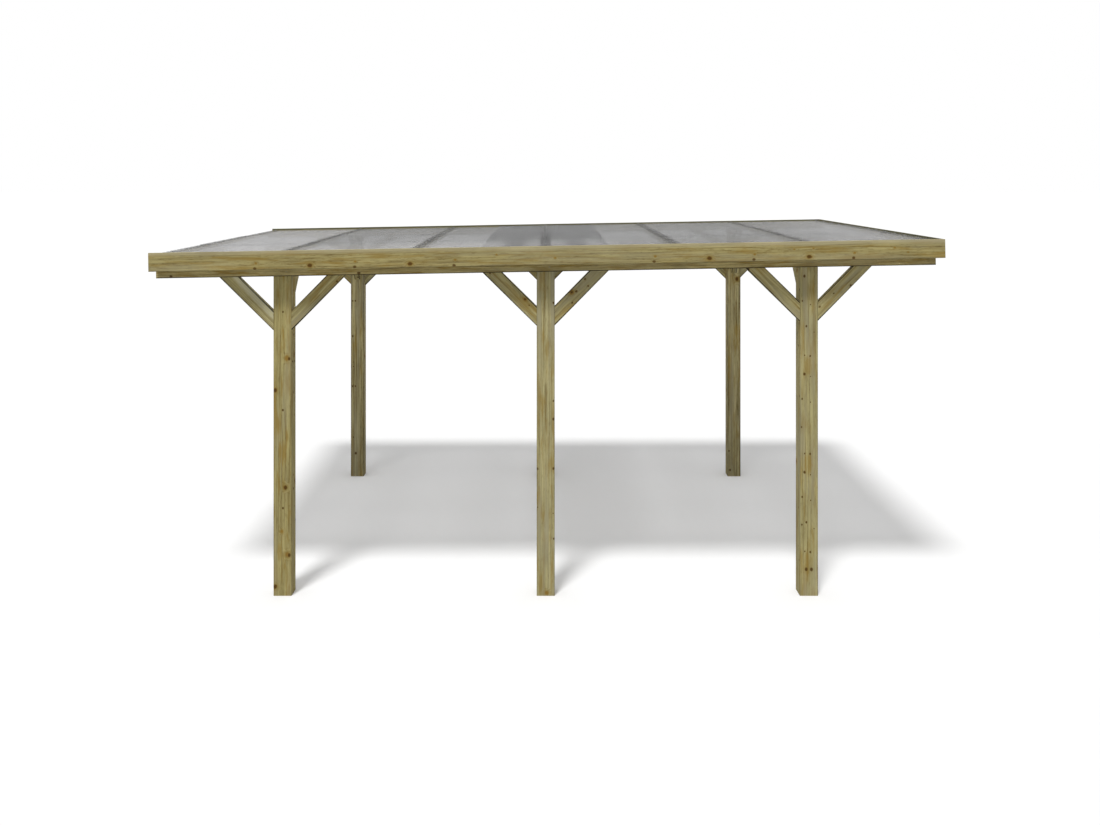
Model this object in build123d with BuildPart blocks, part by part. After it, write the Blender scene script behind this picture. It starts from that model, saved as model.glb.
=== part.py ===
from build123d import *
from math import atan2, cos, degrees, radians, sin, sqrt, tan
import os

# Free-standing carport: posts, purlins, flat rafters, knee braces, fascias and a profiled sheet roof.
# Millimetres, X along the roof with the low end at -X, Y across, Z up.
# The origin lies on the ground under the middle of the roof outline.

# Posts
post_size = 115
post_chamfer = 2
post_pitch = 1680
row_pitch = 2771

# Purlins on edge, housed in the outer faces of the posts
purlin_width = 45
purlin_depth = 95
frame_length = 4978
soffit_height = 2069
roof_fall = 1.0

# Rafters laid flat on the purlins
rafter_width = 70
rafter_depth = 45
rafter_overhang = 104

# Braces
brace_width = 87
brace_thickness = 45
side_brace_leg = 345
cross_brace_leg = 380
timber_arris = 3

# Fascia boards
board_thickness = 18
board_height = 118
board_rounding = 3
fascia_upstand = 13
low_end_lip = 4

# Profiled roof sheets
wave_pitch = 70
crest_width = 22
valley_width = 20
sheet_height = 18
sheet_thickness = 1.5
sheet_length = 2905
middle_sheet_waves = 16
side_lap_waves = 1
nest_clearance = 0.1
sheet_end_clearance = 2
sheet_edge_clearance = 4

# Where the frame stands under the roof outline, which is lopsided by the end board
frame_x = (low_end_lip - board_thickness) / 2
fall = radians(roof_fall)
slope = Vector(cos(fall), 0, sin(fall))
roof = Plane(
    origin=(frame_x, 0, soffit_height + purlin_depth / cos(fall)),
    x_dir=slope,
    z_dir=(-sin(fall), 0, cos(fall)),
)
purlin_soffit = roof.offset(-purlin_depth)

post_face_y = (row_pitch + post_size) / 2
fascia_back_y = post_face_y + rafter_overhang
fascia_spacing = 2 * fascia_back_y
low_end_u = -frame_length / 2 - low_end_lip
high_end_u = frame_length / 2
fascia_top = rafter_depth + sheet_height + fascia_upstand


def across_roof(u):
    """Plane square to the slope, u along it from the middle posts, with Y to the right."""
    return Plane(origin=roof.from_local_coords((u, 0, 0)), x_dir=(0, 1, 0), z_dir=slope)


def height_of(plane, x):
    """Height of a sloping plane above the ground at x."""
    return plane.origin.Z + (x - plane.origin.X) * tan(fall)


def save(part, name):
    """Name a finished piece and write it."""
    part.label = name
    export_step(part, f"parts/{name}.step")


os.makedirs("parts", exist_ok=True)
columns = {"left": -post_pitch, "middle": 0, "right": post_pitch}
rows = {"front": False, "rear": True}


def in_row(part, is_rear):
    """The front row's piece, or its mirror image in the rear row."""
    return mirror(part, about=Plane.XZ) if is_rear else part


# Posts with a sloping head and a housing for the purlin
for column, offset_x in columns.items():
    post_x = frame_x + offset_x
    with BuildPart() as post:
        with BuildSketch():
            with Locations((post_x, -row_pitch / 2)):
                Rectangle(post_size, post_size)
        extrude(amount=height_of(roof, post_x) + post_size)
        chamfer(post.edges().filter_by(Axis.Z), post_chamfer)
        split(bisect_by=roof, keep=Keep.BOTTOM)
        with BuildSketch(purlin_soffit):
            with Locations((0, purlin_width / 2 - post_face_y)):
                Rectangle(frame_length, purlin_width)
        extrude(amount=purlin_depth, mode=Mode.SUBTRACT)
    for row, is_rear in rows.items():
        save(in_row(post.part, is_rear), f"post_{row}_{column}")

# Purlins
with BuildPart() as purlin:
    with BuildSketch(purlin_soffit):
        with Locations((0, purlin_width / 2 - post_face_y)):
            Rectangle(frame_length, purlin_width)
    extrude(amount=purlin_depth)
    chamfer(purlin.edges().group_by(Edge.length)[-1], timber_arris)
for row, is_rear in rows.items():
    save(in_row(purlin.part, is_rear), f"purlin_{row}")

# Rafters, numbered from the low end
with BuildPart() as rafter:
    with BuildSketch(roof):
        Rectangle(rafter_width, fascia_spacing)
    extrude(amount=rafter_depth)
    chamfer(rafter.edges().filter_by(Axis.Y), timber_arris)
end_rafter = (frame_length - rafter_width) / 2
inner_rafters = [k * post_pitch / 2 / cos(fall) for k in range(-2, 3)]
for number, u in enumerate([-end_rafter, *inner_rafters, end_rafter], start=1):
    save(rafter.part.moved(Location(slope * u)), f"rafter_{number}")

# Knee braces between a post and the purlin, flush with the outer faces
for column, offset_x in columns.items():
    for end, way in {"low": -1, "high": 1}.items():
        face_x = frame_x + offset_x + way * post_size / 2
        corner = Vector(face_x, height_of(purlin_soffit, face_x))
        along = Vector(way * cos(fall), way * sin(fall))
        inner_leg = side_brace_leg - brace_width * sqrt(2)
        with BuildPart() as side_brace:
            with BuildSketch(Plane.XZ.offset(post_face_y)):
                Polygon(
                    corner - Vector(0, side_brace_leg),
                    corner + along * side_brace_leg,
                    corner + along * inner_leg,
                    corner - Vector(0, inner_leg),
                    align=None,
                )
            extrude(amount=-brace_thickness)
            chamfer(side_brace.edges().sort_by(Edge.length)[-4:], timber_arris)
        for row, is_rear in rows.items():
            save(in_row(side_brace.part, is_rear), f"brace_{row}_{column}_{end}")

# Cross braces between a post and the rafter over it
for column, offset_x in columns.items():
    post_x = frame_x + offset_x
    head = height_of(roof, post_x)
    inner_face_y = post_size - post_face_y
    inner_leg = cross_brace_leg - brace_width * sqrt(2)
    spare = brace_thickness
    with BuildPart() as cross_brace:
        with BuildSketch(Plane.YZ.offset(post_x)):
            Polygon(
                (inner_face_y, head - cross_brace_leg),
                (inner_face_y + cross_brace_leg + spare, head + spare),
                (inner_face_y + inner_leg + spare, head + spare),
                (inner_face_y, head - inner_leg),
                align=None,
            )
        extrude(amount=brace_thickness / 2, both=True)
        chamfer(cross_brace.edges().sort_by(Edge.length)[-4:], timber_arris)
        split(bisect_by=roof, keep=Keep.BOTTOM)
    for row, is_rear in rows.items():
        save(in_row(cross_brace.part, is_rear), f"cross_brace_{row}_{column}")

# Fascia boards along the front and the rear
with BuildPart() as fascia:
    with BuildSketch(across_roof(low_end_u)):
        with Locations((-fascia_back_y - board_thickness / 2, fascia_top - board_height / 2)):
            Rectangle(board_thickness, board_height)
    extrude(amount=high_end_u + board_thickness - low_end_u)
    outer_face = fascia.faces().sort_by(Axis.Y)[0]
    fillet(outer_face.edges().group_by(Edge.length)[-1], board_rounding)
for row, is_rear in rows.items():
    save(in_row(fascia.part, is_rear), f"fascia_{row}")

# Fascia board across the high end, between the long ones
with BuildPart() as end_fascia:
    with BuildSketch(across_roof(high_end_u)):
        with Locations((0, fascia_top - board_height / 2)):
            Rectangle(fascia_spacing, board_height)
    extrude(amount=board_thickness)
    outer_face = end_fascia.faces().sort_by(Axis.X)[-1]
    fillet(outer_face.edges().group_by(Edge.length)[-1], board_rounding)
save(end_fascia.part, "fascia_high_end")

# Roof sheets: three across with nested side laps, two along with an end lap
web_run = (wave_pitch - crest_width - valley_width) / 2
web_rise = sheet_height - sheet_thickness
web_angle = atan2(web_rise, web_run)
web_shift = sheet_thickness * tan(web_angle / 2)
nest_lift = (sheet_thickness + nest_clearance) / cos(web_angle)
bed_width = fascia_spacing - 2 * sheet_edge_clearance
roof_waves = 2 * int(bed_width / wave_pitch / 2)
outer_sheet_waves = (roof_waves - middle_sheet_waves) // 2 + side_lap_waves
outer_sheet_y = (roof_waves - outer_sheet_waves) * wave_pitch / 2

valley_edge = wave_pitch / 2
web_foot = crest_width / 2 + web_run
web_top = crest_width / 2
wave_outline = [
    (-valley_edge, 0),
    (-web_foot, 0),
    (-web_top, web_rise),
    (web_top, web_rise),
    (web_foot, 0),
    (valley_edge, 0),
    (valley_edge, sheet_thickness),
    (web_foot + web_shift, sheet_thickness),
    (web_top + web_shift, sheet_height),
    (-web_top - web_shift, sheet_height),
    (-web_foot - web_shift, sheet_thickness),
    (-valley_edge, sheet_thickness),
]
sheet_strips = {
    "front": (-outer_sheet_y, outer_sheet_waves, 0),
    "middle": (0, middle_sheet_waves, 1),
    "rear": (outer_sheet_y, outer_sheet_waves, 0),
}
sheet_ends = {
    "low": (low_end_u, 0),
    "high": (high_end_u - sheet_end_clearance - sheet_length, 2),
}
for end, (start_u, end_layer) in sheet_ends.items():
    for strip, (strip_y, waves, side_layer) in sheet_strips.items():
        lift = rafter_depth + (end_layer + side_layer) * nest_lift
        with BuildPart() as sheet:
            with BuildSketch(across_roof(start_u)):
                with Locations((strip_y, lift)):
                    with GridLocations(wave_pitch, 0, waves, 1):
                        Polygon(*wave_outline, align=None)
            extrude(amount=sheet_length)
        save(sheet.part, f"sheet_{end}_{strip}")
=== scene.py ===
"""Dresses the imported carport: treated pine, smoked roof sheets, screws and a plain studio."""

import logging
import math
import random
from collections.abc import Callable, Sequence
from dataclasses import asdict, dataclass, field, replace
from enum import Enum
from fnmatch import fnmatch
from functools import partial, reduce

import bmesh
import bpy
from bpy.types import Material, Mesh, Node, NodeTree, Object
from mathutils import Euler, Matrix, Vector
from mathutils.bvhtree import BVHTree

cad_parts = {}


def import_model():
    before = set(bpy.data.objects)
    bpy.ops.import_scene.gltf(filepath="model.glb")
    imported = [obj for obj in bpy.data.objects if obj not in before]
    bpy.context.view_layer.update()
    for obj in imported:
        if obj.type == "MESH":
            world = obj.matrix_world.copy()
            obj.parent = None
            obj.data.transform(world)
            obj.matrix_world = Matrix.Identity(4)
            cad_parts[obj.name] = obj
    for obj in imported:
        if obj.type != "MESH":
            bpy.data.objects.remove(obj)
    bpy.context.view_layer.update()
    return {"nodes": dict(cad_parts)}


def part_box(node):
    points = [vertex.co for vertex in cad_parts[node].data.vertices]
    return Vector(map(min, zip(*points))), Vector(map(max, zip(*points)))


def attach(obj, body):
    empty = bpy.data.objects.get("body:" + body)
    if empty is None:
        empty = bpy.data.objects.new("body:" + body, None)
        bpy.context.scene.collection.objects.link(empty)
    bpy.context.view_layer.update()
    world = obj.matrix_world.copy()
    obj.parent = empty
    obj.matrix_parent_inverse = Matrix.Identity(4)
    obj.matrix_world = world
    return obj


LOG = logging.getLogger("carport")
BODY = "root"
MM = 0.001

Color = tuple[float, float, float]
Span = tuple[float, float]
Profile = tuple[tuple[float, float], ...]
Nodes = dict[str, Object]
Socket = bpy.types.NodeSocket
Sockets = dict[str, Socket]
Source = Socket | float | tuple[float, ...]
Sources = dict[str | int, Source]


def srgb(*channels: int) -> Color:
    """Linear colour of an 8-bit display colour.

    Args:
        channels: Red, green and blue from 0 to 255.

    Returns:
        The same colour in linear light.
    """
    shares = [channel / 255 for channel in channels]
    return tuple(
        share / 12.92 if share <= 0.04045 else ((share + 0.055) / 1.055) ** 2.4 for share in shares
    )


@dataclass(frozen=True)
class Noise:
    """A noise drawn out along X, and the stretch of its values that makes a mask."""

    along: float
    across: float
    detail: float = 2.0
    roughness: float = 0.5
    low: float = 0.0
    high: float = 1.0


class Graph:
    """Short calls that add nodes to one node tree and wire them."""

    def __init__(self, tree: NodeTree) -> None:
        """Keeps the tree that the calls add to."""
        self.tree = tree

    def feed(self, socket: Socket, source: Source) -> None:
        """Links a socket to another, or sets its plain value.

        Args:
            socket: The input to fill.
            source: An output socket, a number, or a colour or vector.
        """
        if isinstance(source, Socket):
            self.tree.links.new(source, socket)
        elif isinstance(source, tuple) and socket.type == "RGBA":
            socket.default_value = (*source, 1.0)
        else:
            socket.default_value = source

    def fill(self, node: Node, inputs: Sources) -> None:
        """Feeds some inputs of a node, by name or number."""
        for key, source in inputs.items():
            self.feed(node.inputs[key], source)

    def node(self, kind: str, inputs: Sources | None = None, **settings: object) -> Node:
        """Adds one node.

        Args:
            kind: The node's type name without the ShaderNode prefix.
            inputs: Source of each input, by its name or number.
            settings: Other properties of the node.

        Returns:
            The new node.
        """
        node = self.tree.nodes.new(f"ShaderNode{kind}")
        for name, value in settings.items():
            setattr(node, name, value)
        self.fill(node, inputs or {})
        return node

    def math(self, operation: str, *values: Source) -> Socket:
        """Result of a Math node."""
        return self.node("Math", dict(enumerate(values)), operation=operation).outputs[0]

    def vector(self, operation: str, *values: Source, output: int = 0) -> Socket:
        """Result of a Vector Math node: a vector at output 0, a number at output 1."""
        node = self.node("VectorMath", dict(enumerate(values)), operation=operation)
        return node.outputs[output]

    def join(self, *parts: Source) -> Socket:
        """A vector from its parts."""
        return self.node("CombineXYZ", dict(enumerate(parts))).outputs[0]

    def split(self, vector: Source) -> tuple[Socket, ...]:
        """The three parts of a vector."""
        return tuple(self.node("SeparateXYZ", {0: vector}).outputs)

    def times(self, *values: Source) -> Source:
        """Product of the values."""
        return reduce(partial(self.math, "MULTIPLY"), values)

    def plus(self, *values: Source) -> Source:
        """Sum of the values."""
        return reduce(partial(self.math, "ADD"), values)

    def most(self, *values: Source) -> Source:
        """Greatest of the values."""
        return reduce(partial(self.math, "MAXIMUM"), values)

    def rest(self, share: Source) -> Socket:
        """What a share leaves of one."""
        return self.math("SUBTRACT", 1.0, share)

    def ramp(self, value: Source, base: Source, gain: Source) -> Socket:
        """A base and a multiple of a value."""
        return self.math("MULTIPLY_ADD", value, gain, base)

    def step(self, value: Source, low: Source, high: Source, top: Source = 1.0) -> Socket:
        """Smooth rise from 0 at one value to a top at another.

        Args:
            value: What is compared.
            low: Where the rise starts.
            high: Where it ends.
            top: The result there.

        Returns:
            The result's socket.
        """
        inputs = {"Value": value, "From Min": low, "From Max": high, "To Max": top}
        node = self.node("MapRange", inputs, interpolation_type="SMOOTHSTEP")
        return node.outputs["Result"]

    def band(self, value: Source, span: Span, soft: float) -> Socket:
        """Mask of a stretch with soft ends.

        Args:
            value: What is compared.
            span: Where the stretch starts and ends.
            soft: How far each end fades to either side.

        Returns:
            The mask's socket.
        """
        half = (span[1] - span[0]) / 2
        away = self.math("ABSOLUTE", self.math("SUBTRACT", value, sum(span) / 2))
        return self.rest(self.step(away, half - soft, half + soft))

    def noise(self, place: Source, kind: Noise) -> Socket:
        """Value of a Noise Texture.

        Args:
            place: Where it is read.
            kind: Its scales, octaves and roughness.

        Returns:
            The noise from 0 to 1.
        """
        drawn = self.vector("MULTIPLY", place, (kind.along, kind.across, kind.across))
        octaves = {"Detail": kind.detail, "Roughness": kind.roughness}
        return self.node("TexNoise", {"Vector": drawn, "Scale": 1.0} | octaves).outputs["Fac"]

    def patches(self, place: Source, kind: Noise) -> Socket:
        """Mask of the places where a noise is high."""
        return self.step(self.noise(place, kind), kind.low, kind.high)

    def blend(self, share: Source, first: Source, second: Source, mode: str = "MIX") -> Socket:
        """Colour between two others, by the share of the second."""
        inputs = {0: share, 6: first, 7: second}
        return self.node("Mix", inputs, data_type="RGBA", blend_type=mode).outputs[2]

    def shaded(self, color: Source, level: Source) -> Socket:
        """A colour brought down to a level."""
        tint = self.node("CombineColor", dict(enumerate((level, level, level))))
        return self.blend(1.0, color, tint.outputs[0], "MULTIPLY")


VECTORS = ("Vector", "Pith", "Centre", "Grain")


def new_group(
    name: str, inputs: str, outputs: str, fill: Callable[[Graph, Sockets], Sockets]
) -> NodeTree:
    """Makes a shader node group.

    Args:
        name: Name of the group.
        inputs: Names of its inputs, which are numbers apart from those in VECTORS.
        outputs: Names of its outputs, all numbers.
        fill: Adds the group's nodes and returns the source of each output.

    Returns:
        The group.
    """
    tree = bpy.data.node_groups.new(name, "ShaderNodeTree")
    for side, names in (("INPUT", inputs), ("OUTPUT", outputs)):
        for one in names.split(", "):
            kind = "NodeSocketVector" if one in VECTORS else "NodeSocketFloat"
            tree.interface.new_socket(one, in_out=side, socket_type=kind)
    entry = tree.nodes.new("NodeGroupInput")
    result = tree.nodes.new("NodeGroupOutput")
    graph = Graph(tree)
    given = {socket.name: socket for socket in entry.outputs if socket.name}
    graph.fill(result, fill(graph, given))
    return tree


def new_material(name: str) -> tuple[Material, Graph, Node]:
    """Makes a material with nodes.

    Args:
        name: Name of the material.

    Returns:
        The material, the calls that add to its tree, and its shader.
    """
    material = bpy.data.materials.new(name)
    material.use_nodes = True
    return material, Graph(material.node_tree), material.node_tree.nodes["Principled BSDF"]


def new_mesh(name: str, shape: bmesh.types.BMesh) -> Mesh:
    """Turns a finished bmesh into a mesh.

    Args:
        name: Name of the mesh.
        shape: The bmesh, which is freed.

    Returns:
        The mesh.
    """
    mesh = bpy.data.meshes.new(name)
    shape.to_mesh(mesh)
    shape.free()
    return mesh


def new_object(name: str, data: bpy.types.ID) -> Object:
    """Puts a mesh, lamp or camera in the scene.

    Args:
        name: Name of the object.
        data: What it shows.

    Returns:
        The object.
    """
    thing = bpy.data.objects.new(name, data)
    bpy.context.scene.collection.objects.link(thing)
    return thing


def assign(piece: Object, material: Material) -> None:
    """Puts one material in every slot of a piece.

    Args:
        piece: The object.
        material: Its finish.
    """
    if not piece.material_slots:
        piece.data.materials.append(material)
    for place in piece.material_slots:
        place.material = material


ROUND_REACHES = {"Knot": (0.55, 1.25), "Heart": (0.2, 0.72), "Halo": (0.6, 2.6)}


@dataclass
class PineGroups:
    """The node groups that every pine material shares, with what they are made from."""

    trees: dict[str, NodeTree] = field(default_factory=dict)
    knot_flatness: float = 0.6
    uneven: Span = (0.65, 0.7)
    knot_wobble: Noise = Noise(9, 9)
    mark_wobble: Noise = Noise(40, 90)
    bow: Noise = Noise(0.9, 6)
    bow_depth: float = 0.034
    waves: Noise = Noise(3.2, 30)
    wave_depth: float = 0.006
    halo_depth: float = 0.009
    rings_per_metre: float = 165.0
    late_wood: tuple[Span, Span] = ((0.35, 0.88), (0.9, 1.0))
    fibre: Noise = Noise(14, 620, 3, 0.65)
    streak: Noise = Noise(2.2, 95, 4, 0.6)
    fleck: Noise = Noise(30, 170, 3, 0.6, 0.5, 0.68)
    ochre: Noise = Noise(4.2, 32, 4, 0.6, 0.46, 0.66)
    grey: Noise = Noise(1.3, 21, 3, 0.55, 0.44, 0.66)
    shade: Noise = Noise(3.38, 11.7)
    edge_reach: Span = (0.0075, 0.0025)
    end_facing: Span = (0.85, 0.97)

    def build(self) -> None:
        """Makes the groups once."""
        scattered = "Along, Radius, Angle, Pitch, Spread, Share, Size, Seed, Scatter"
        kinds = {
            "heart": ("Vector, Pith", "Along, Radius, Angle", self.fill_heart),
            "knots": (scattered, "Knot, Heart, Halo", self.fill_knots),
            "mark": ("Vector, Centre, Size, Slenderness", "Knot, Halo", self.fill_mark),
            "rings": ("Vector, Radius, Halo, Seed", "Ring, Fibre, Streak, Fleck", self.fill_rings),
            "stain": ("Vector, Seed", "Ochre, Grey, Shade", self.fill_stain),
            "arris": ("Vector, Grain, Half Width, Half Height", "Edge, End", self.fill_arris),
        }
        for name, (inputs, outputs, fill) in kinds.items():
            self.trees[name] = new_group(f"pine_{name}", inputs, outputs, fill)

    def fill_heart(self, graph: Graph, given: Sockets) -> Sockets:
        """Polar place of a point about the pith.

        Args:
            graph: The group's tree.
            given: Its inputs.

        Returns:
            Sources of its outputs.
        """
        along, across, up = graph.split(graph.vector("SUBTRACT", given["Vector"], given["Pith"]))
        squares = graph.plus(graph.times(across, across), graph.times(up, up))
        return {
            "Along": along,
            "Radius": graph.math("SQRT", squares),
            "Angle": graph.math("ARCTAN2", up, graph.times(across, -1.0)),
        }

    def fill_knots(self, graph: Graph, given: Sockets) -> Sockets:
        """Knots that run out from the pith, with the darker wood round them.

        Args:
            graph: The group's tree.
            given: Its inputs.

        Returns:
            Sources of its outputs.
        """
        row = graph.plus(graph.math("DIVIDE", given["Along"], given["Pitch"]), given["Seed"])
        column = graph.math("DIVIDE", given["Angle"], given["Spread"])
        place = graph.join(row, column)
        inputs = {"Vector": place, "Scale": 1.0, "Randomness": given["Scatter"]}
        cells = graph.node("TexVoronoi", inputs, voronoi_dimensions="2D").outputs
        middle = graph.split(cells["Position"])
        traits = graph.node("SeparateColor", {0: cells["Color"]}).outputs
        along = graph.times(graph.math("SUBTRACT", row, middle[0]), given["Pitch"])
        turned = graph.math("SUBTRACT", column, middle[1])
        around = graph.times(turned, given["Spread"], given["Radius"])
        squares = graph.plus(
            graph.times(along, along, self.knot_flatness), graph.times(around, around)
        )
        size = graph.times(graph.ramp(traits[0], *self.uneven), given["Size"])
        wobble = graph.noise(place, self.knot_wobble)
        present = graph.math("LESS_THAN", traits[1], given["Share"])
        masks = self.round_masks(graph, graph.math("SQRT", squares), size, wobble)
        return {name: graph.times(mask, present) for name, mask in masks.items()}

    def fill_mark(self, graph: Graph, given: Sockets) -> Sockets:
        """One knot or stain at a chosen place on a timber's face.

        Args:
            graph: The group's tree.
            given: Its inputs.

        Returns:
            Sources of its outputs.
        """
        along, across, up = graph.split(graph.vector("SUBTRACT", given["Vector"], given["Centre"]))
        place = graph.join(graph.math("DIVIDE", along, given["Slenderness"]), across, up)
        wobble = graph.noise(given["Vector"], self.mark_wobble)
        distance = graph.vector("LENGTH", place, output=1)
        masks = self.round_masks(graph, distance, given["Size"], wobble)
        return {name: masks[name] for name in ("Knot", "Halo")}

    def round_masks(self, graph: Graph, distance: Socket, size: Source, wobble: Socket) -> Sockets:
        """Masks of a knot's body, of its dark heart and of the wood round it.

        Args:
            graph: The group's tree.
            distance: How far a point is from the knot's middle.
            size: The knot's radius.
            wobble: Noise that makes its edge uneven.

        Returns:
            The three masks by name.
        """
        edge = graph.times(size, graph.ramp(wobble, *self.uneven))
        masks: Sockets = {}
        for name, reach in ROUND_REACHES.items():
            inner, outer = (graph.times(edge, share) for share in reach)
            masks[name] = graph.rest(graph.step(distance, inner, outer))
        return masks

    def fill_rings(self, graph: Graph, given: Sockets) -> Sockets:
        """Growth rings cut lengthwise, fine fibres, broad streaks and short flecks.

        Args:
            graph: The group's tree.
            given: Its inputs.

        Returns:
            Sources of its outputs.
        """
        place = graph.vector("ADD", given["Vector"], graph.join(given["Seed"]))
        radius = graph.plus(
            given["Radius"],
            graph.times(graph.noise(place, self.bow), self.bow_depth),
            graph.times(graph.noise(place, self.waves), self.wave_depth),
            graph.times(given["Halo"], self.halo_depth),
        )
        year = graph.math("FRACT", graph.times(radius, self.rings_per_metre))
        rise, fall = (graph.step(year, *span) for span in self.late_wood)
        return {
            "Ring": graph.times(rise, graph.rest(fall)),
            "Fibre": graph.noise(place, self.fibre),
            "Streak": graph.noise(place, self.streak),
            "Fleck": graph.patches(place, self.fleck),
        }

    def fill_stain(self, graph: Graph, given: Sockets) -> Sockets:
        """Uneven uptake of the green salts: ochre and grey runs, light and dark stretches.

        Args:
            graph: The group's tree.
            given: Its inputs.

        Returns:
            Sources of its outputs.
        """
        place = graph.vector("ADD", given["Vector"], graph.join(given["Seed"], given["Seed"]))
        return {
            "Ochre": graph.patches(place, self.ochre),
            "Grey": graph.patches(place, self.grey),
            "Shade": graph.noise(place, self.shade),
        }

    def fill_arris(self, graph: Graph, given: Sockets) -> Sockets:
        """Masks of a timber's four long edges and of its end grain.

        Args:
            graph: The group's tree.
            given: Its inputs.

        Returns:
            Sources of its outputs.
        """
        _, across, up = graph.split(given["Vector"])
        sides: list[Socket] = []
        for part, half in ((across, given["Half Width"]), (up, given["Half Height"])):
            start, end = (graph.math("SUBTRACT", half, reach) for reach in self.edge_reach)
            sides.append(graph.step(graph.math("ABSOLUTE", part), start, end))
        normal = graph.node("NewGeometry").outputs["Normal"]
        along = graph.vector("DOT_PRODUCT", normal, given["Grain"], output=1)
        facing = graph.math("ABSOLUTE", along)
        return {"Edge": graph.times(*sides), "End": graph.step(facing, *self.end_facing)}


class Grain(Enum):
    """Which way a timber's fibres run, as the turn from X to that way."""

    UPRIGHT = (0, -90, 0)
    LENGTHWISE = (0, -1, 0)
    ACROSS = (0, 0, 90)
    RISING = (0, -45, 0)
    FALLING = (0, 45, 0)
    INWARD_FROM_FRONT = (0, -45, 90)
    INWARD_FROM_REAR = (0, -45, -90)

    def turn(self) -> Euler:
        """The turn as Euler angles."""
        return Euler([math.radians(angle) for angle in self.value])

    def way(self) -> Vector:
        """Unit vector along the fibres."""
        return self.turn().to_matrix() @ Vector((1, 0, 0))


@dataclass(frozen=True)
class Scattered:
    """Knots at random in cells along and around the pith."""

    pitch: float
    spread: float
    share: float
    size: float
    scatter: float

    def inputs(self, seed: float) -> dict[str, float]:
        """Inputs of the knots' group."""
        return {name.title(): value for name, value in asdict(self).items()} | {"Seed": seed}


BRANCHES = Scattered(0.42, 1.3, 0.45, 0.0155, 0.85)
PINS = Scattered(0.17, 0.8, 0.5, 0.0055, 1.0)


@dataclass(frozen=True)
class Mark:
    """A knot or stain on a timber's outer face, with its place from the face's middle."""

    along: float
    up: float
    size: float
    slenderness: float = 1.3

    def inputs(self, place: Socket, half_width: float) -> Sources:
        """Inputs of the mark's group."""
        centre = (self.along, -half_width, self.up)
        return dict(Vector=place, Centre=centre, Size=self.size, Slenderness=self.slenderness)


def marks(*places: tuple[float, ...]) -> tuple[Mark, ...]:
    """Marks from the place and radius of each in millimetres, and its slenderness if given."""
    return tuple(Mark(*(value * MM for value in place[:3]), *place[3:]) for place in places)


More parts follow.
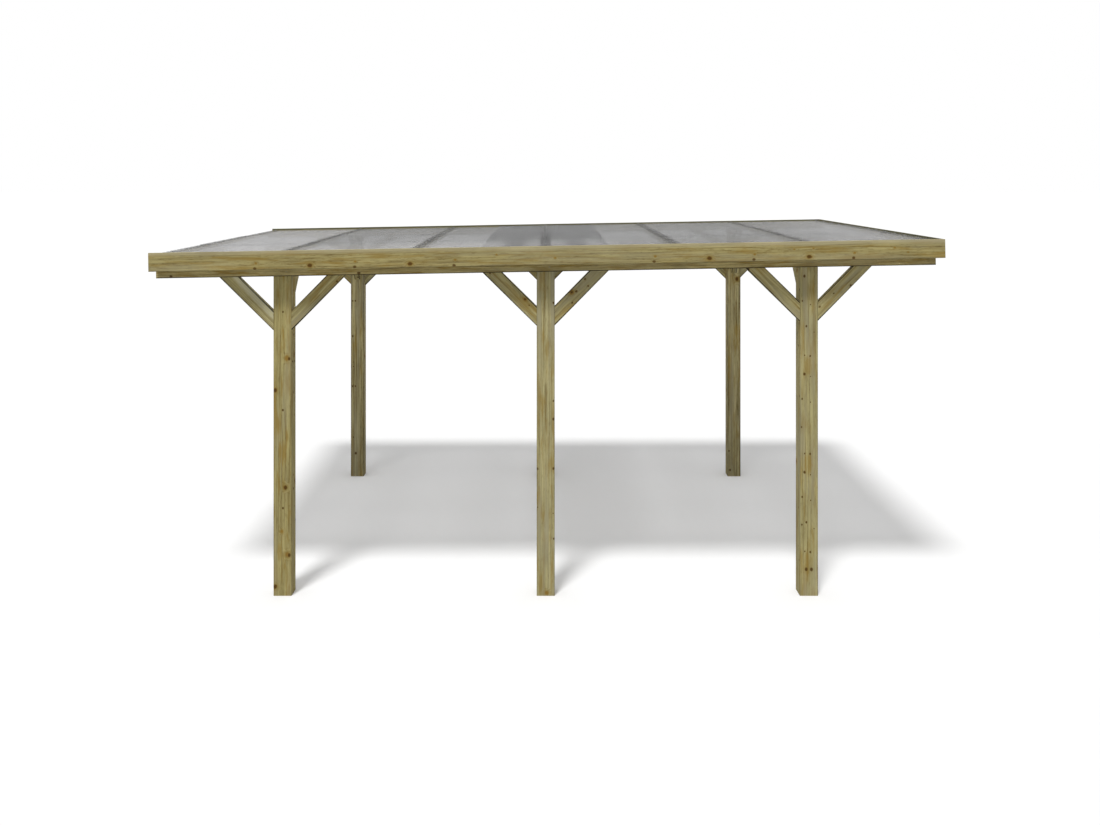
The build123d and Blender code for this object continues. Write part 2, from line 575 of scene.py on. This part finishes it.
@dataclass(frozen=True)
class TreatedPine:
    """Pressure-treated pine of one kind of timber."""

    light: Color = srgb(191, 181, 128)
    dark: Color = srgb(108, 90, 44)
    ochre: Color = srgb(152, 126, 58)
    grey: Color = srgb(168, 161, 130)
    branch: Color = srgb(146, 114, 48)
    pin: Color = srgb(84, 57, 4)
    halo: Color = srgb(152, 130, 66)
    # Tone painted along the top edge when top_wear is set; pale by default, as a painted highlight
    worn: Color = srgb(196, 186, 150)
    half_width: float = 0.0575
    half_height: float = 0.0575
    pith: Span = (0.012, -0.018)
    pith_play: float = 0.02
    branches: Scattered = BRANCHES
    pins: Scattered = PINS
    pin_seed: float = 7.56
    knots: tuple[Mark, ...] = ()
    dots: tuple[Mark, ...] = ()
    runs: tuple[Mark, ...] = ()
    face_depth: float = 0.004
    ring_depth: float = 0.3
    streaks: Span = (0.34, 0.7)
    streak_depth: float = 0.5
    fleck_depth: float = 0.2
    ochre_share: float = 0.7
    grey_share: float = 0.55
    run_streaks: Span = (0.35, 0.6)
    run_share: float = 0.7
    halo_share: float = 0.6
    knot_share: float = 0.95
    dot_share: float = 0.92
    # Share of the painted light or shade along the top edge: a painted highlight when its tone is
    # pale, painted shade when dark
    top_wear: float = 0.0
    wear_reach: Span = (0.034, 0.004)
    edge_shade: float = 0.2
    end_shade: float = 0.35
    foot_shade: float = 0.0
    foot_reach: float = -1.08
    roughness: float = 0.72
    gloss: float = 0.28
    bump: float = 0.35
    bump_depth: float = 0.0012

    def material(
        self, name: str, groups: PineGroups, grain: Grain, middle: Vector, seed: float
    ) -> Material:
        """Makes the material of one timber.

        Args:
            name: Name of the material.
            groups: The shared node groups.
            grain: Which way the fibres run.
            middle: A point on the timber's middle line.
            seed: Number that makes its figure its own.

        Returns:
            The material.
        """
        material, graph, shader = new_material(name)
        own = random.Random(seed)
        play = self.pith_play
        pith = (0.0, *(part + own.uniform(-play, play) for part in self.pith))
        inputs = {
            "Vector": graph.node("TexCoord").outputs["Object"],
            "Location": tuple(middle),
            "Rotation": tuple(grain.turn()),
        }
        place = graph.node("Mapping", inputs, vector_type="TEXTURE").outputs[0]
        _, outward, up = graph.split(place)

        def add(group: str, inputs: Sources) -> Sockets:
            """Adds a shared group and returns its outputs by name."""
            node = graph.node("Group", inputs, node_tree=groups.trees[group])
            return {socket.name: socket for socket in node.outputs}

        def placed(chosen: Sequence[Mark]) -> list[Sockets]:
            """Adds the group of each placed mark and returns their masks."""
            return [add("mark", one.inputs(place, self.half_width)) for one in chosen]

        heart = add("heart", {"Vector": place, "Pith": pith})
        branches = add("knots", heart | self.branches.inputs(seed))
        pins = add("knots", heart | self.pins.inputs(seed + self.pin_seed))
        if self.knots or self.dots:
            elsewhere = graph.math("GREATER_THAN", outward, self.face_depth - self.half_width)
            branches, pins = (
                {key: graph.times(mask, elsewhere) for key, mask in masks.items()}
                for masks in (branches, pins)
            )
        knots, dots, runs = placed(self.knots), placed(self.dots), placed(self.runs)
        pin_halo = graph.times(pins["Halo"], 0.6)
        halo = graph.most(branches["Halo"], pin_halo, *(knot["Halo"] for knot in knots))
        body = graph.most(branches["Knot"], *(knot["Knot"] for knot in knots))
        dark = graph.most(branches["Heart"], pins["Knot"], *(dot["Knot"] for dot in dots))
        stain = add("stain", {"Vector": place, "Seed": seed})
        bent = {"Radius": heart["Radius"], "Halo": halo}
        rings = add("rings", {"Vector": place, "Seed": seed} | bent)
        halves = {"Half Width": self.half_width, "Half Height": self.half_height}
        arris = add("arris", {"Vector": place, "Grain": tuple(grain.way())} | halves)

        darkness = graph.plus(
            graph.times(rings["Ring"], self.ring_depth),
            graph.times(graph.step(rings["Streak"], *self.streaks), self.streak_depth),
            graph.times(rings["Fleck"], self.fleck_depth),
        )
        layers = [
            (stain["Ochre"], self.ochre_share, self.ochre),
            (stain["Grey"], self.grey_share, self.grey),
        ]
        if runs:
            patchy = graph.ramp(graph.step(rings["Streak"], *self.run_streaks), 0.4, 0.6)
            run = graph.times(graph.most(*(one["Knot"] for one in runs)), patchy)
            layers.append((run, self.run_share, self.ochre))
        layers += [
            (halo, self.halo_share, self.halo),
            (body, self.knot_share, self.branch),
            (dark, self.dot_share, self.pin),
        ]
        # Paints light or shade along the top edge, in the given tone
        if self.top_wear:
            start, end = (self.half_height - reach for reach in self.wear_reach)
            layers.append((graph.step(up, start, end), self.top_wear, self.worn))
        color = graph.blend(graph.math("MINIMUM", darkness, 1.0), self.light, self.dark)
        for mask, share, tone in layers:
            color = graph.blend(graph.times(mask, share), color, tone)

        levels = [
            graph.ramp(stain["Shade"], 0.74, 0.5),
            graph.ramp(rings["Fibre"], 0.93, 0.14),
            graph.ramp(arris["Edge"], 1.0, -self.edge_shade),
            graph.ramp(arris["End"], 1.0, -self.end_shade),
        ]
        if self.foot_shade:
            foot = graph.step(heart["Along"], 0.0, self.foot_reach)
            levels.append(graph.ramp(foot, 1.0, -self.foot_shade))
        height = graph.plus(
            graph.times(rings["Fibre"], 0.5),
            graph.times(rings["Ring"], -0.25),
            graph.times(dark, -0.6),
        )
        relief = {"Strength": self.bump, "Distance": self.bump_depth, "Height": height}
        graph.fill(
            shader,
            {
                "Base Color": graph.shaded(color, graph.times(*levels)),
                "Roughness": graph.ramp(rings["Fibre"], self.roughness - 0.06, 0.12),
                "Normal": graph.node("Bump", relief).outputs[0],
                "Specular IOR Level": self.gloss,
            },
        )
        return material


@dataclass(frozen=True)
class SmokedSheet:
    """Smoke-grey translucent PVC sheet."""

    tint: Color = (0.69, 0.69, 0.69)
    # Tint of the painted light
    pale: Color = (0.80, 0.80, 0.80)
    rafter_shade: float = 0.74
    rafter_fade: float = 0.004
    middle_fade: float = 0.008
    middle_ends: tuple[float, ...] = (0.6, -0.9, 0.9)
    lap_shade: float = 0.87
    lap_fade: float = 0.006
    cut_shade: float = 0.55
    cut_reach: Span = (0.0072, 0.012)
    # Painted light: paler sheets towards the front
    front_film: tuple[float, ...] = (0.0, -1.4, 0.95)
    front_fade: float = 0.12
    # Painted shade: a strip on each side of the middle rafter where the painted light is weaker
    smudges: Span = (0.145, 0.265)
    smudge_fade: float = 0.04
    smudge_share: float = 0.75
    dust: Noise = Noise(1.92, 8, 4, 0.6)
    clearness: float = 0.88
    bending: float = 1.008
    roughness: float = 0.12
    shadow_pass: float = 0.12

    def material(self, name: str, beams: Sequence[Span], lap: Span, end: float) -> Material:
        """Makes the sheets' material.

        Only the faces turned to the eye bend light, so that a thin wall counts once. Painted shade
        darkens the sheets over the rafters; the lap and the cut low end are darker too. Painted
        light pales both ends and the front, apart from a strip of painted shade each side of the
        middle rafter.

        Args:
            name: Name of the material.
            beams: Where each rafter under the sheets starts and ends along X.
            lap: Where the end lap starts and ends along X.
            end: Where the sheets start at the low end.

        Returns:
            The material.
        """
        material, graph, shader = new_material(name)
        place = graph.node("TexCoord").outputs["Object"]
        along, across, _ = graph.split(place)
        centre = len(beams) // 2
        others = (*beams[:centre], *beams[centre + 1 :])
        first, last = beams[1][0], beams[-2][1]

        # Painted shade over the rafters, fading towards the rear over the middle one
        middle = graph.band(along, beams[centre], self.middle_fade)
        over = graph.most(
            graph.times(middle, graph.step(across, *self.middle_ends)),
            *(graph.band(along, beam, self.rafter_fade) for beam in others),
        )
        aside = graph.math("ABSOLUTE", graph.math("SUBTRACT", along, sum(beams[centre]) / 2))
        # Painted light towards the front, weakened in a strip of painted shade on each side of the
        # middle rafter
        front = graph.times(
            graph.step(across, *self.front_film),
            graph.band(along, (first, lap[1]), self.front_fade),
            graph.ramp(graph.band(aside, self.smudges, self.smudge_fade), 1.0, -self.smudge_share),
        )
        fold = graph.times(graph.band(along, lap, self.lap_fade), graph.rest(front))
        cut = graph.rest(graph.step(along, *(end + reach for reach in self.cut_reach)))
        shade = graph.times(
            graph.ramp(over, 1.0, self.rafter_shade - 1.0),
            graph.ramp(fold, 1.0, self.lap_shade - 1.0),
            graph.ramp(cut, 1.0, self.cut_shade - 1.0),
        )
        dust = graph.noise(place, self.dust)
        # Painted light at both ends as well as the front, mottled by a noise that also varies the
        # roughness
        painted_light = graph.most(
            front,
            graph.step(along, first + 0.05, first - 0.03),
            graph.step(along, last, last + 0.8, 0.75),
        )
        painted_light = graph.times(painted_light, graph.ramp(dust, 0.85, 0.3))

        rays = graph.node("LightPath").outputs
        turned_away = graph.node("NewGeometry").outputs["Backfacing"]
        solid = graph.ramp(rays["Is Shadow Ray"], 1.0, -self.shadow_pass)
        graph.fill(
            shader,
            {
                "Base Color": graph.shaded(graph.blend(painted_light, self.tint, self.pale), shade),
                "Roughness": graph.ramp(dust, self.roughness - 0.03, 0.06),
                "Alpha": graph.times(solid, graph.rest(turned_away)),
                "Transmission Weight": self.clearness,
                "IOR": self.bending,
            },
        )
        return material


@dataclass
class Timbers:
    """Every pine node of the frame, each with a figure of its own."""

    groups: PineGroups
    post: TreatedPine = TreatedPine(
        grey_share=0.6,
        dots=marks(
            (318, 28.7, 8.4), (-308, 28.3, 8.4), (-928, 17.2, 10.5), (-928, -15.9, 10.5),
            (624, 16, 6.5), (-628, 16.1, 6.8), (785, 42.4, 5.7), (160, 43.6, 5.9),
            (-466, 42.8, 6.2), (-20, 47, 5.7), (-643, 45.5, 5.4), (438, 26.8, 5.1),
            (434, -8.5, 5.9), (-189, 27.4, 5.1), (-191, -7.6, 6.5), (-813, 26.2, 5.1),
            (-818, -8.5, 6.1), (762, -10.1, 4.3), (303, -9.6, 3.5), (-324, -9.8, 3.5),
            (944, 28.7, 8.4), (139, -10.3, 4.1), (-488, -11.1, 4.1), (586, -33.1, 3.5),
            (-668, -32.7, 3.5),
        ),
        runs=marks((370, 7, 27, 2.6), (-257, 7, 29, 2.6), (-894, 4, 27, 2.8)),
    )
    warm_post: TreatedPine = TreatedPine(
        light=srgb(188, 176, 118),
        ochre_share=0.9,
        grey_share=0.4,
        knots=marks(
            (448, -27.5, 14), (244, 45, 12.5), (-375, -16.5, 13.5), (-656, 4.3, 9),
            (-805, -31, 14.5), (-1009, 44.6, 12.5),
        ),
        dots=marks(
            (444, -43, 9.2), (244, 47, 11.5), (745, -3.3, 6.1), (118, -1.7, 6.8),
            (-508, -2.7, 6.8), (-377, -18.9, 11.5), (-808, -43, 9.7), (-1009, 47, 12.1),
        ),
        runs=marks((-137, 16, 12, 4.5), (20, 30, 10, 6), (-790, 20, 14, 4)),
    )
    pale_post: TreatedPine = TreatedPine(
        light=srgb(192, 183, 134),
        grey_share=0.75,
        knots=marks((-1063, -8, 13.5, 1)),
        dots=marks(
            (45.5, -49.5, 7.8), (-270.5, -49.8, 7.8), (-271.5, 52, 7), (-717.5, -51.5, 6.8),
            (787.5, -49.5, 6.8), (162.5, -49.5, 6.5), (-555.5, -47.4, 4.1), (-516.5, 52, 4.6),
        ),
        runs=marks((500, -10, 12, 6), (0, -8, 10, 6)),
    )
    rear_post: TreatedPine = TreatedPine(
        light=srgb(204, 193, 142), streak_depth=0.8, edge_shade=0.5, foot_shade=0.22
    )
    rear_left_post: TreatedPine = replace(
        rear_post,
        dots=marks(
            (498, 18, 7.8), (498, 41, 7), (-264, 18, 7.8), (-264, 41, 8.4), (-862, 14.7, 10.1),
            (182, 41.8, 8.1), (-88, 35.5, 5.7), (-718, 35.5, 5.7),
        ),
    )
    rear_middle_post: TreatedPine = replace(
        rear_post, pins=replace(PINS, share=0.65), branches=replace(BRANCHES, share=0.3)
    )
    rear_right_post: TreatedPine = replace(
        rear_post,
        knots=marks((663, -27, 20)),
        dots=marks((663, -24, 14.2), (-871, 45, 7), (-1041, 36, 9.5)),
    )
    purlin: TreatedPine = TreatedPine(
        light=srgb(206, 190, 132),
        half_width=0.0225,
        half_height=0.0475,
        pith=(0.055, 0.02),
        ochre_share=0.9,
        grey_share=0.25,
        edge_shade=0.9,
        dots=marks((-2394, -36, 8.5), (-1194, -35, 9.5)),
    )
    rafter: TreatedPine = TreatedPine(half_width=0.035, half_height=0.0225, pith=(0.015, -0.06))
    brace: TreatedPine = TreatedPine(
        half_width=0.0225, half_height=0.0435, pith=(0.05, 0.01), grey_share=0.6, edge_shade=0.88
    )
    pale_brace: TreatedPine = replace(
        brace,
        ochre=srgb(216, 213, 184),
        ochre_share=0.0,
        grey_share=0.3,
        branches=replace(BRANCHES, share=0.0),
        pins=replace(PINS, share=0.2),
        runs=marks((-20, 26, 22, 14), (120, 20, 16, 10)),
    )
    board: TreatedPine = TreatedPine(
        half_width=0.009, half_height=0.059, pith=(0.075, -0.012), pith_play=0.003
    )
    fascia: TreatedPine = replace(
        board,
        light=srgb(184, 171, 115),
        fleck_depth=0.35,
        knots=marks(
            (-1486, -35.7, 14.5), (-858, -36.2, 14.5), (1020, -35.9, 14.5), (1646, -36.3, 14.5),
            (-1825, -16.4, 6.5), (-1202, -16.7, 6.5), (-575, -17, 6.5), (52, -16, 6),
            (680, -16.5, 6.8), (1304, -15.5, 6.5), (1931, -16.7, 6.8), (-315, 12, 4.5),
            (1552, 11.6, 4.5), (1673, 15.9, 4.5), (2183, 11.3, 5), (2266, -18.5, 4.5),
        ),
        dots=marks(
            (-1486, -35.7, 12.4), (-858, -36.2, 12.4), (1020, -35.9, 12.4), (1646, -36.3, 12.4),
            (-1833, -50.5, 8.9), (-1206, -50, 8.9), (-582, -51, 8.9), (672, -49.4, 8.9),
            (1298, -47.8, 8.9), (1924, -47.6, 8.9),
        ),
        grey_share=0.35,
        # a painted highlight along the top edge
        top_wear=0.6,
    )
    far_fascia: TreatedPine = replace(
        board,
        # painted shade along the top edge, in a dark tone
        worn=srgb(86, 86, 60),
        branches=Scattered(0.6266, 1.1, 0.8, 0.0145, 0.3),
        pins=replace(PINS, pitch=0.3133),
        grey_share=0.5,
        top_wear=0.9,
    )
    first_seed: float = 3.0
    seed_step: float = 1.7

    def kind_of(self, node: str) -> tuple[TreatedPine, Grain]:
        """Finish and grain of a node.

        Args:
            node: Name of the CAD node.

        Returns:
            The finish, and which way the fibres run.
        """
        up, level, across = Grain.UPRIGHT, Grain.LENGTHWISE, Grain.ACROSS
        kinds = {
            "post_front_left": (self.warm_post, up),
            "post_front_middle": (self.pale_post, up),
            "post_front_right": (self.post, up),
            "post_rear_left": (self.rear_left_post, up),
            "post_rear_middle": (self.rear_middle_post, up),
            "post_rear_right": (self.rear_right_post, up),
            "purlin_*": (self.purlin, level),
            "rafter_*": (self.rafter, across),
            "fascia_high_end": (self.far_fascia, across),
            "fascia_rear": (self.far_fascia, level),
            "fascia_front": (self.fascia, level),
            "cross_brace_front_*": (self.brace, Grain.INWARD_FROM_FRONT),
            "cross_brace_rear_*": (self.brace, Grain.INWARD_FROM_REAR),
            "brace_front_left_low": (self.pale_brace, Grain.FALLING),
            "brace_*_low": (self.brace, Grain.FALLING),
            "brace_*_high": (self.brace, Grain.RISING),
        }
        return next(kind for pattern, kind in kinds.items() if fnmatch(node, pattern))

    def dress(self, nodes: Nodes) -> None:
        """Gives each timber its material.

        Args:
            nodes: The CAD nodes by name.
        """
        for count, name in enumerate(sorted(nodes)):
            if name.startswith("sheet"):
                continue
            finish, grain = self.kind_of(name)
            low, high = (Vector(corner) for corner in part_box(name))
            middle = (low + high) / 2
            if "brace" in name:
                middle += grain.turn().to_matrix() @ Vector((0, 0, finish.half_height))
            seed = self.first_seed + self.seed_step * count
            assign(nodes[name], finish.material(f"pine_{name}", self.groups, grain, middle, seed))
            LOG.info("%s: pine, grain %s", name, grain.name.lower())


@dataclass
class RoofSheets:
    """The six profiled sheets."""

    finish: SmokedSheet = SmokedSheet()

    def dress(self, nodes: Nodes) -> None:
        """Gives the sheets their material.

        Args:
            nodes: The CAD nodes by name.
        """
        spans = [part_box(name) for name in sorted(nodes) if name.startswith("rafter")]
        beams = [(float(low[0]), float(high[0])) for low, high in spans]
        start, lap_end = (float(corner[0]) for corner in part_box("sheet_low_middle"))
        lap = (float(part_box("sheet_high_middle")[0][0]), lap_end)
        material = self.finish.material("smoked_sheet", beams, lap, start)
        for name in sorted(nodes):
            if name.startswith("sheet"):
                assign(nodes[name], material)
                LOG.info("%s: smoked sheet", name)


@dataclass(frozen=True)
class ScrewFinish:
    """Metal or plastic of the small fasteners."""

    color: Color
    worn: Color
    metallic: float
    roughness: float
    blotches: Noise = Noise(160, 160, 3, 0.6, 0.4, 0.65)

    def material(self, name: str) -> Material:
        """Makes the finish, blotched by weather.

        Args:
            name: Name of the material.

        Returns:
            The material.
        """
        material, graph, shader = new_material(name)
        blotch = graph.patches(graph.node("TexCoord").outputs["Object"], self.blotches)
        graph.fill(
            shader,
            {
                "Base Color": graph.blend(blotch, self.color, self.worn),
                "Roughness": graph.ramp(blotch, self.roughness, 0.15),
                "Metallic": self.metallic,
            },
        )
        return material


@dataclass(frozen=True)
class Seat:
    """Where a fastener is looked for: a node, a point outside it and the way in."""

    node: str
    start: Vector
    way: Vector


@dataclass
class Fasteners:
    """Turned fasteners, each seated on the node that it holds."""

    nodes: Nodes
    segments: int = 12
    trees: dict[str, BVHTree] = field(default_factory=dict)

    def surface(self, node: str) -> BVHTree:
        """Search tree of a node's mesh, made once.

        Args:
            node: Name of the CAD node.

        Returns:
            The tree.
        """
        if node not in self.trees:
            shape = bmesh.new()
            shape.from_mesh(self.nodes[node].data)
            self.trees[node] = BVHTree.FromBMesh(shape)
            shape.free()
        return self.trees[node]

    def turned(self, name: str, profile: Profile) -> Mesh:
        """Turns a profile about Z into a closed solid.

        Args:
            name: Name of the mesh.
            profile: Radius and height of each point in millimetres, from axis to axis.

        Returns:
            The pattern's mesh.
        """
        shape = bmesh.new()
        points = [shape.verts.new((radius * MM, 0.0, height * MM)) for radius, height in profile]
        edges = [shape.edges.new(pair) for pair in zip(points, points[1:])]
        axis = {"axis": (0, 0, 1), "cent": (0, 0, 0), "dvec": (0, 0, 0)}
        turn = {"angle": math.tau, "steps": self.segments, "use_merge": True}
        bmesh.ops.spin(shape, geom=points + edges, **axis, **turn)
        bmesh.ops.remove_doubles(shape, verts=shape.verts, dist=0.01 * MM)
        bmesh.ops.recalc_face_normals(shape, faces=shape.faces)
        return new_mesh(name, shape)

    def place(
        self, name: str, pattern: Mesh, seats: Sequence[Seat], slot: str
    ) -> Object:
        """Puts a copy of a pattern on each seat, square to the surface.

        Args:
            name: Name of the piece.
            pattern: The turned mesh, its axis along Z.
            seats: Where the copies sit.
            slot: Name of a material slot; not used.

        Returns:
            The piece.
        """
        shape = bmesh.new()
        for seat in seats:
            point, normal, _, _ = self.surface(seat.node).ray_cast(seat.start, seat.way)
            if point is None:
                raise ValueError(f"{name}: no surface of {seat.node} at {tuple(seat.start)}")
            if normal.dot(seat.way) > 0:
                normal = -normal
            before = len(shape.verts)
            shape.from_mesh(pattern)
            shape.verts.ensure_lookup_table()
            turn = normal.to_track_quat("Z", "Y").to_matrix().to_4x4()
            move = Matrix.Translation(point) @ turn
            bmesh.ops.transform(shape, matrix=move, verts=shape.verts[before:])
        mesh = new_mesh(name, shape)
        for face in mesh.polygons:
            face.use_smooth = True
        piece = new_object(name, mesh)
        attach(piece, BODY)
        LOG.info("%s: %d pieces", name, len(seats))
        return piece


@dataclass
class RoofScrews:
    """Capped screws on the crests of the sheets, over each rafter."""

    fasteners: Fasteners
    rafters: int = 7
    crests: tuple[int, ...] = (3, 9, 15, 21, 27, 35, 43)
    half_wave: float = 0.035
    reach: float = 0.5
    profile: Profile = (
        (0.0, -0.6), (10.5, -0.6), (10.5, 0.7), (8.0, 1.3),
        (6.6, 1.6), (5.6, 3.7), (3.4, 4.3), (0.0, 4.4),
    )
    finish: ScrewFinish = ScrewFinish((0.13, 0.13, 0.135), (0.17, 0.17, 0.165), 0.0, 0.5)

    def build(self) -> None:
        """Makes one piece of screws for each rafter."""
        pattern = self.fasteners.turned("roof_screw", self.profile)
        cap = self.finish.material("smoked_cap")
        pattern.materials.append(cap)
        sheets = [name for name in sorted(self.fasteners.nodes) if name.startswith("sheet")]
        for number in range(1, self.rafters + 1):
            low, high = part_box(f"rafter_{number}")
            middle, above = (low[0] + high[0]) / 2, high[2] + self.reach
            seats = [
                self.topmost(sheets, Vector((middle, side * crest * self.half_wave, above)))
                for crest in self.crests
                for side in (-1, 1)
            ]
            name = f"roof_screws_{number}"
            assign(self.fasteners.place(name, pattern, seats, "roof_sheets"), cap)

    def topmost(self, sheets: Sequence[str], start: Vector) -> Seat:
        """The sheet that lies on top under a point.

        Args:
            sheets: Names of the sheets.
            start: A point over the roof.

        Returns:
            The seat on that sheet.
        """
        down = Vector((0, 0, -1))
        depths = {name: self.fasteners.surface(name).ray_cast(start, down)[3] for name in sheets}
        return Seat(min(depths, key=lambda name: depths[name] or math.inf), start, down)


@dataclass
class TimberScrews:
    """Countersunk screws of the end board, purlins and braces."""

    fasteners: Fasteners
    reach: float = 0.1
    end_rafter: str = "rafter_7"
    board_rows: range = range(-4, 5)
    board_pitch: float = 0.36
    board_gap: float = 0.022
    purlin_pair: tuple[Span, Span] = ((-0.024, 0.026), (0.024, 0.066))
    brace_places: Span = (0.14, 0.86)
    profile: Profile = (
        (0.0, -1.4), (1.5, -1.3), (1.9, 0.15), (4.3, 0.3),
        (5.2, 0.0), (5.2, -0.5), (2.2, -3.4), (0.0, -3.4),
    )
    finish: ScrewFinish = ScrewFinish((0.46, 0.40, 0.24), (0.30, 0.26, 0.17), 0.85, 0.42)

    def build(self) -> None:
        """Makes a piece of screws for each kind of joint."""
        pattern = self.fasteners.turned("timber_screw", self.profile)
        steel = self.finish.material("yellow_zinc")
        pattern.materials.append(steel)
        joints = (
            ("fascia", self.fascia_seats()),
            ("purlin", self.purlin_seats()),
            ("brace", self.brace_seats()),
        )
        for held, seats in joints:
            piece = self.fasteners.place(f"{held}_screws", pattern, seats, f"{held}s")
            assign(piece, steel)

    def fascia_seats(self) -> list[Seat]:
        """Pairs of screws through the end board into the last rafter's side.

        Returns:
            The seats.
        """
        low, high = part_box(self.end_rafter)
        outside, middle = high[0] + self.reach, (low[2] + high[2]) / 2
        seats: list[Seat] = []
        for number in self.board_rows:
            for lift in (-self.board_gap / 2, self.board_gap / 2):
                start = Vector((outside, number * self.board_pitch, middle + lift))
                seats.append(Seat("fascia_high_end", start, Vector((-1, 0, 0))))
        return seats

    def purlin_seats(self) -> list[Seat]:
        """A pair of screws through each purlin into each post.

        Returns:
            The seats.
        """
        seats: list[Seat] = []
        for row, side in (("front", -1), ("rear", 1)):
            for column in ("left", "middle", "right"):
                low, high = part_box(f"post_{row}_{column}")
                middle = (low[0] + high[0]) / 2
                outside = (high if side > 0 else low)[1] + side * self.reach
                for across, drop in self.purlin_pair:
                    start = Vector((middle + across, outside, high[2] - drop))
                    seats.append(Seat(f"purlin_{row}", start, Vector((0, -side, 0))))
        return seats

    def brace_seats(self) -> list[Seat]:
        """A screw near each end of each brace, in its lower face.

        Returns:
            The seats.
        """
        seats: list[Seat] = []
        for node in sorted(self.fasteners.nodes):
            if "brace" not in node:
                continue
            low, high = (Vector(corner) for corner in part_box(node))
            foot, head = low.copy(), high.copy()
            if node.startswith("cross"):
                foot.x = head.x = (low.x + high.x) / 2
                if "rear" in node:
                    foot.y, head.y = high.y, low.y
            else:
                foot.y = head.y = (low.y + high.y) / 2
                if node.endswith("low"):
                    foot.x, head.x = high.x, low.x
            run = (head - foot).normalized()
            level = Vector((run.x, run.y, 0)).normalized()
            outward = (level - run * level.dot(run)).normalized()
            for share in self.brace_places:
                start = foot.lerp(head, share) + outward * self.reach
                seats.append(Seat(node, start, -outward))
        return seats


@dataclass
class Studio:
    """Floor, light, backdrop and camera."""

    camera_place: tuple[float, float, float] = (-0.007, -8.413, 2.6825)
    sensor: float = 36.0
    lens: float = 35.74
    shift: Span = (0.0039, -0.2154)
    sight: float = 500.0
    floor_size: float = 160.0
    floor_color: Color = (0.80, 0.80, 0.80)
    floor_bounce: Color = (0.34, 0.34, 0.34)
    floor_lift: float = 0.07
    white: Color = (1.0, 1.0, 1.0)
    sky: float = 0.55
    sun: float = 2.25
    sun_softness: float = 10.0
    sun_height: float = 64.0
    sun_side: float = 20.0

    def build(self) -> None:
        """Makes the whole studio."""
        self.build_floor()
        self.build_light()
        self.build_camera()

    def build_floor(self) -> None:
        """A pale floor that keeps the carport's shadow."""
        shape = bmesh.new()
        bmesh.ops.create_grid(shape, x_segments=1, y_segments=1, size=self.floor_size)
        floor = new_object("floor", new_mesh("floor", shape))
        material, graph, shader = new_material("pale_floor")
        rays = graph.node("LightPath").outputs
        seen = graph.most(rays["Is Camera Ray"], rays["Is Transmission Ray"])
        graph.fill(
            shader,
            {
                "Base Color": graph.blend(seen, self.floor_bounce, self.floor_color),
                "Roughness": 1.0,
                "Specular IOR Level": 0.0,
                "Emission Color": self.white,
                "Emission Strength": graph.times(seen, self.floor_lift),
            },
        )
        assign(floor, material)

    def build_light(self) -> None:
        """One soft lamp from the front left and an even pale world."""
        height, side = math.radians(self.sun_height), math.radians(self.sun_side)
        level = Vector((math.sin(side), math.cos(side), 0)) * math.cos(height)
        travel = level - Vector((0, 0, math.sin(height)))
        lamp = bpy.data.lights.new("studio_lamp", "SUN")
        lamp.energy = self.sun
        lamp.angle = math.radians(self.sun_softness)
        holder = new_object("studio_lamp", lamp)
        holder.rotation_euler = travel.to_track_quat("-Z", "Y").to_euler()
        holder.visible_transmission = False
        world = bpy.data.worlds.new("studio")
        bpy.context.scene.world = world
        world.use_nodes = True
        graph = Graph(world.node_tree)
        rays = graph.node("LightPath").outputs
        kinds = ("Is Camera Ray", "Is Glossy Ray", "Is Transmission Ray")
        seen = graph.most(*(rays[kind] for kind in kinds))
        strength = graph.ramp(seen, self.sky, 1.0 - self.sky)
        background = world.node_tree.nodes["Background"]
        graph.fill(background, {"Color": self.white, "Strength": strength})

    def build_camera(self) -> None:
        """The camera, level, with a vertical shift, as the upright posts stay parallel."""
        data = bpy.data.cameras.new("camera")
        data.sensor_width = self.sensor
        data.lens = self.lens
        data.shift_x, data.shift_y = self.shift
        data.clip_end = self.sight
        camera = new_object("camera", data)
        camera.location = self.camera_place
        camera.rotation_euler = (math.radians(90), 0, 0)
        bpy.context.scene.camera = camera


def main() -> None:
    """Builds the dressed carport and its studio."""
    logging.basicConfig(level=logging.INFO, format="%(message)s")
    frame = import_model()
    bpy.context.scene.view_settings.view_transform = "Standard"
    nodes = frame["nodes"]
    groups = PineGroups()
    groups.build()
    Timbers(groups).dress(nodes)
    RoofSheets().dress(nodes)
    fasteners = Fasteners(nodes)
    RoofScrews(fasteners).build()
    TimberScrews(fasteners).build()
    Studio().build()


if __name__ == "__main__":
    main()
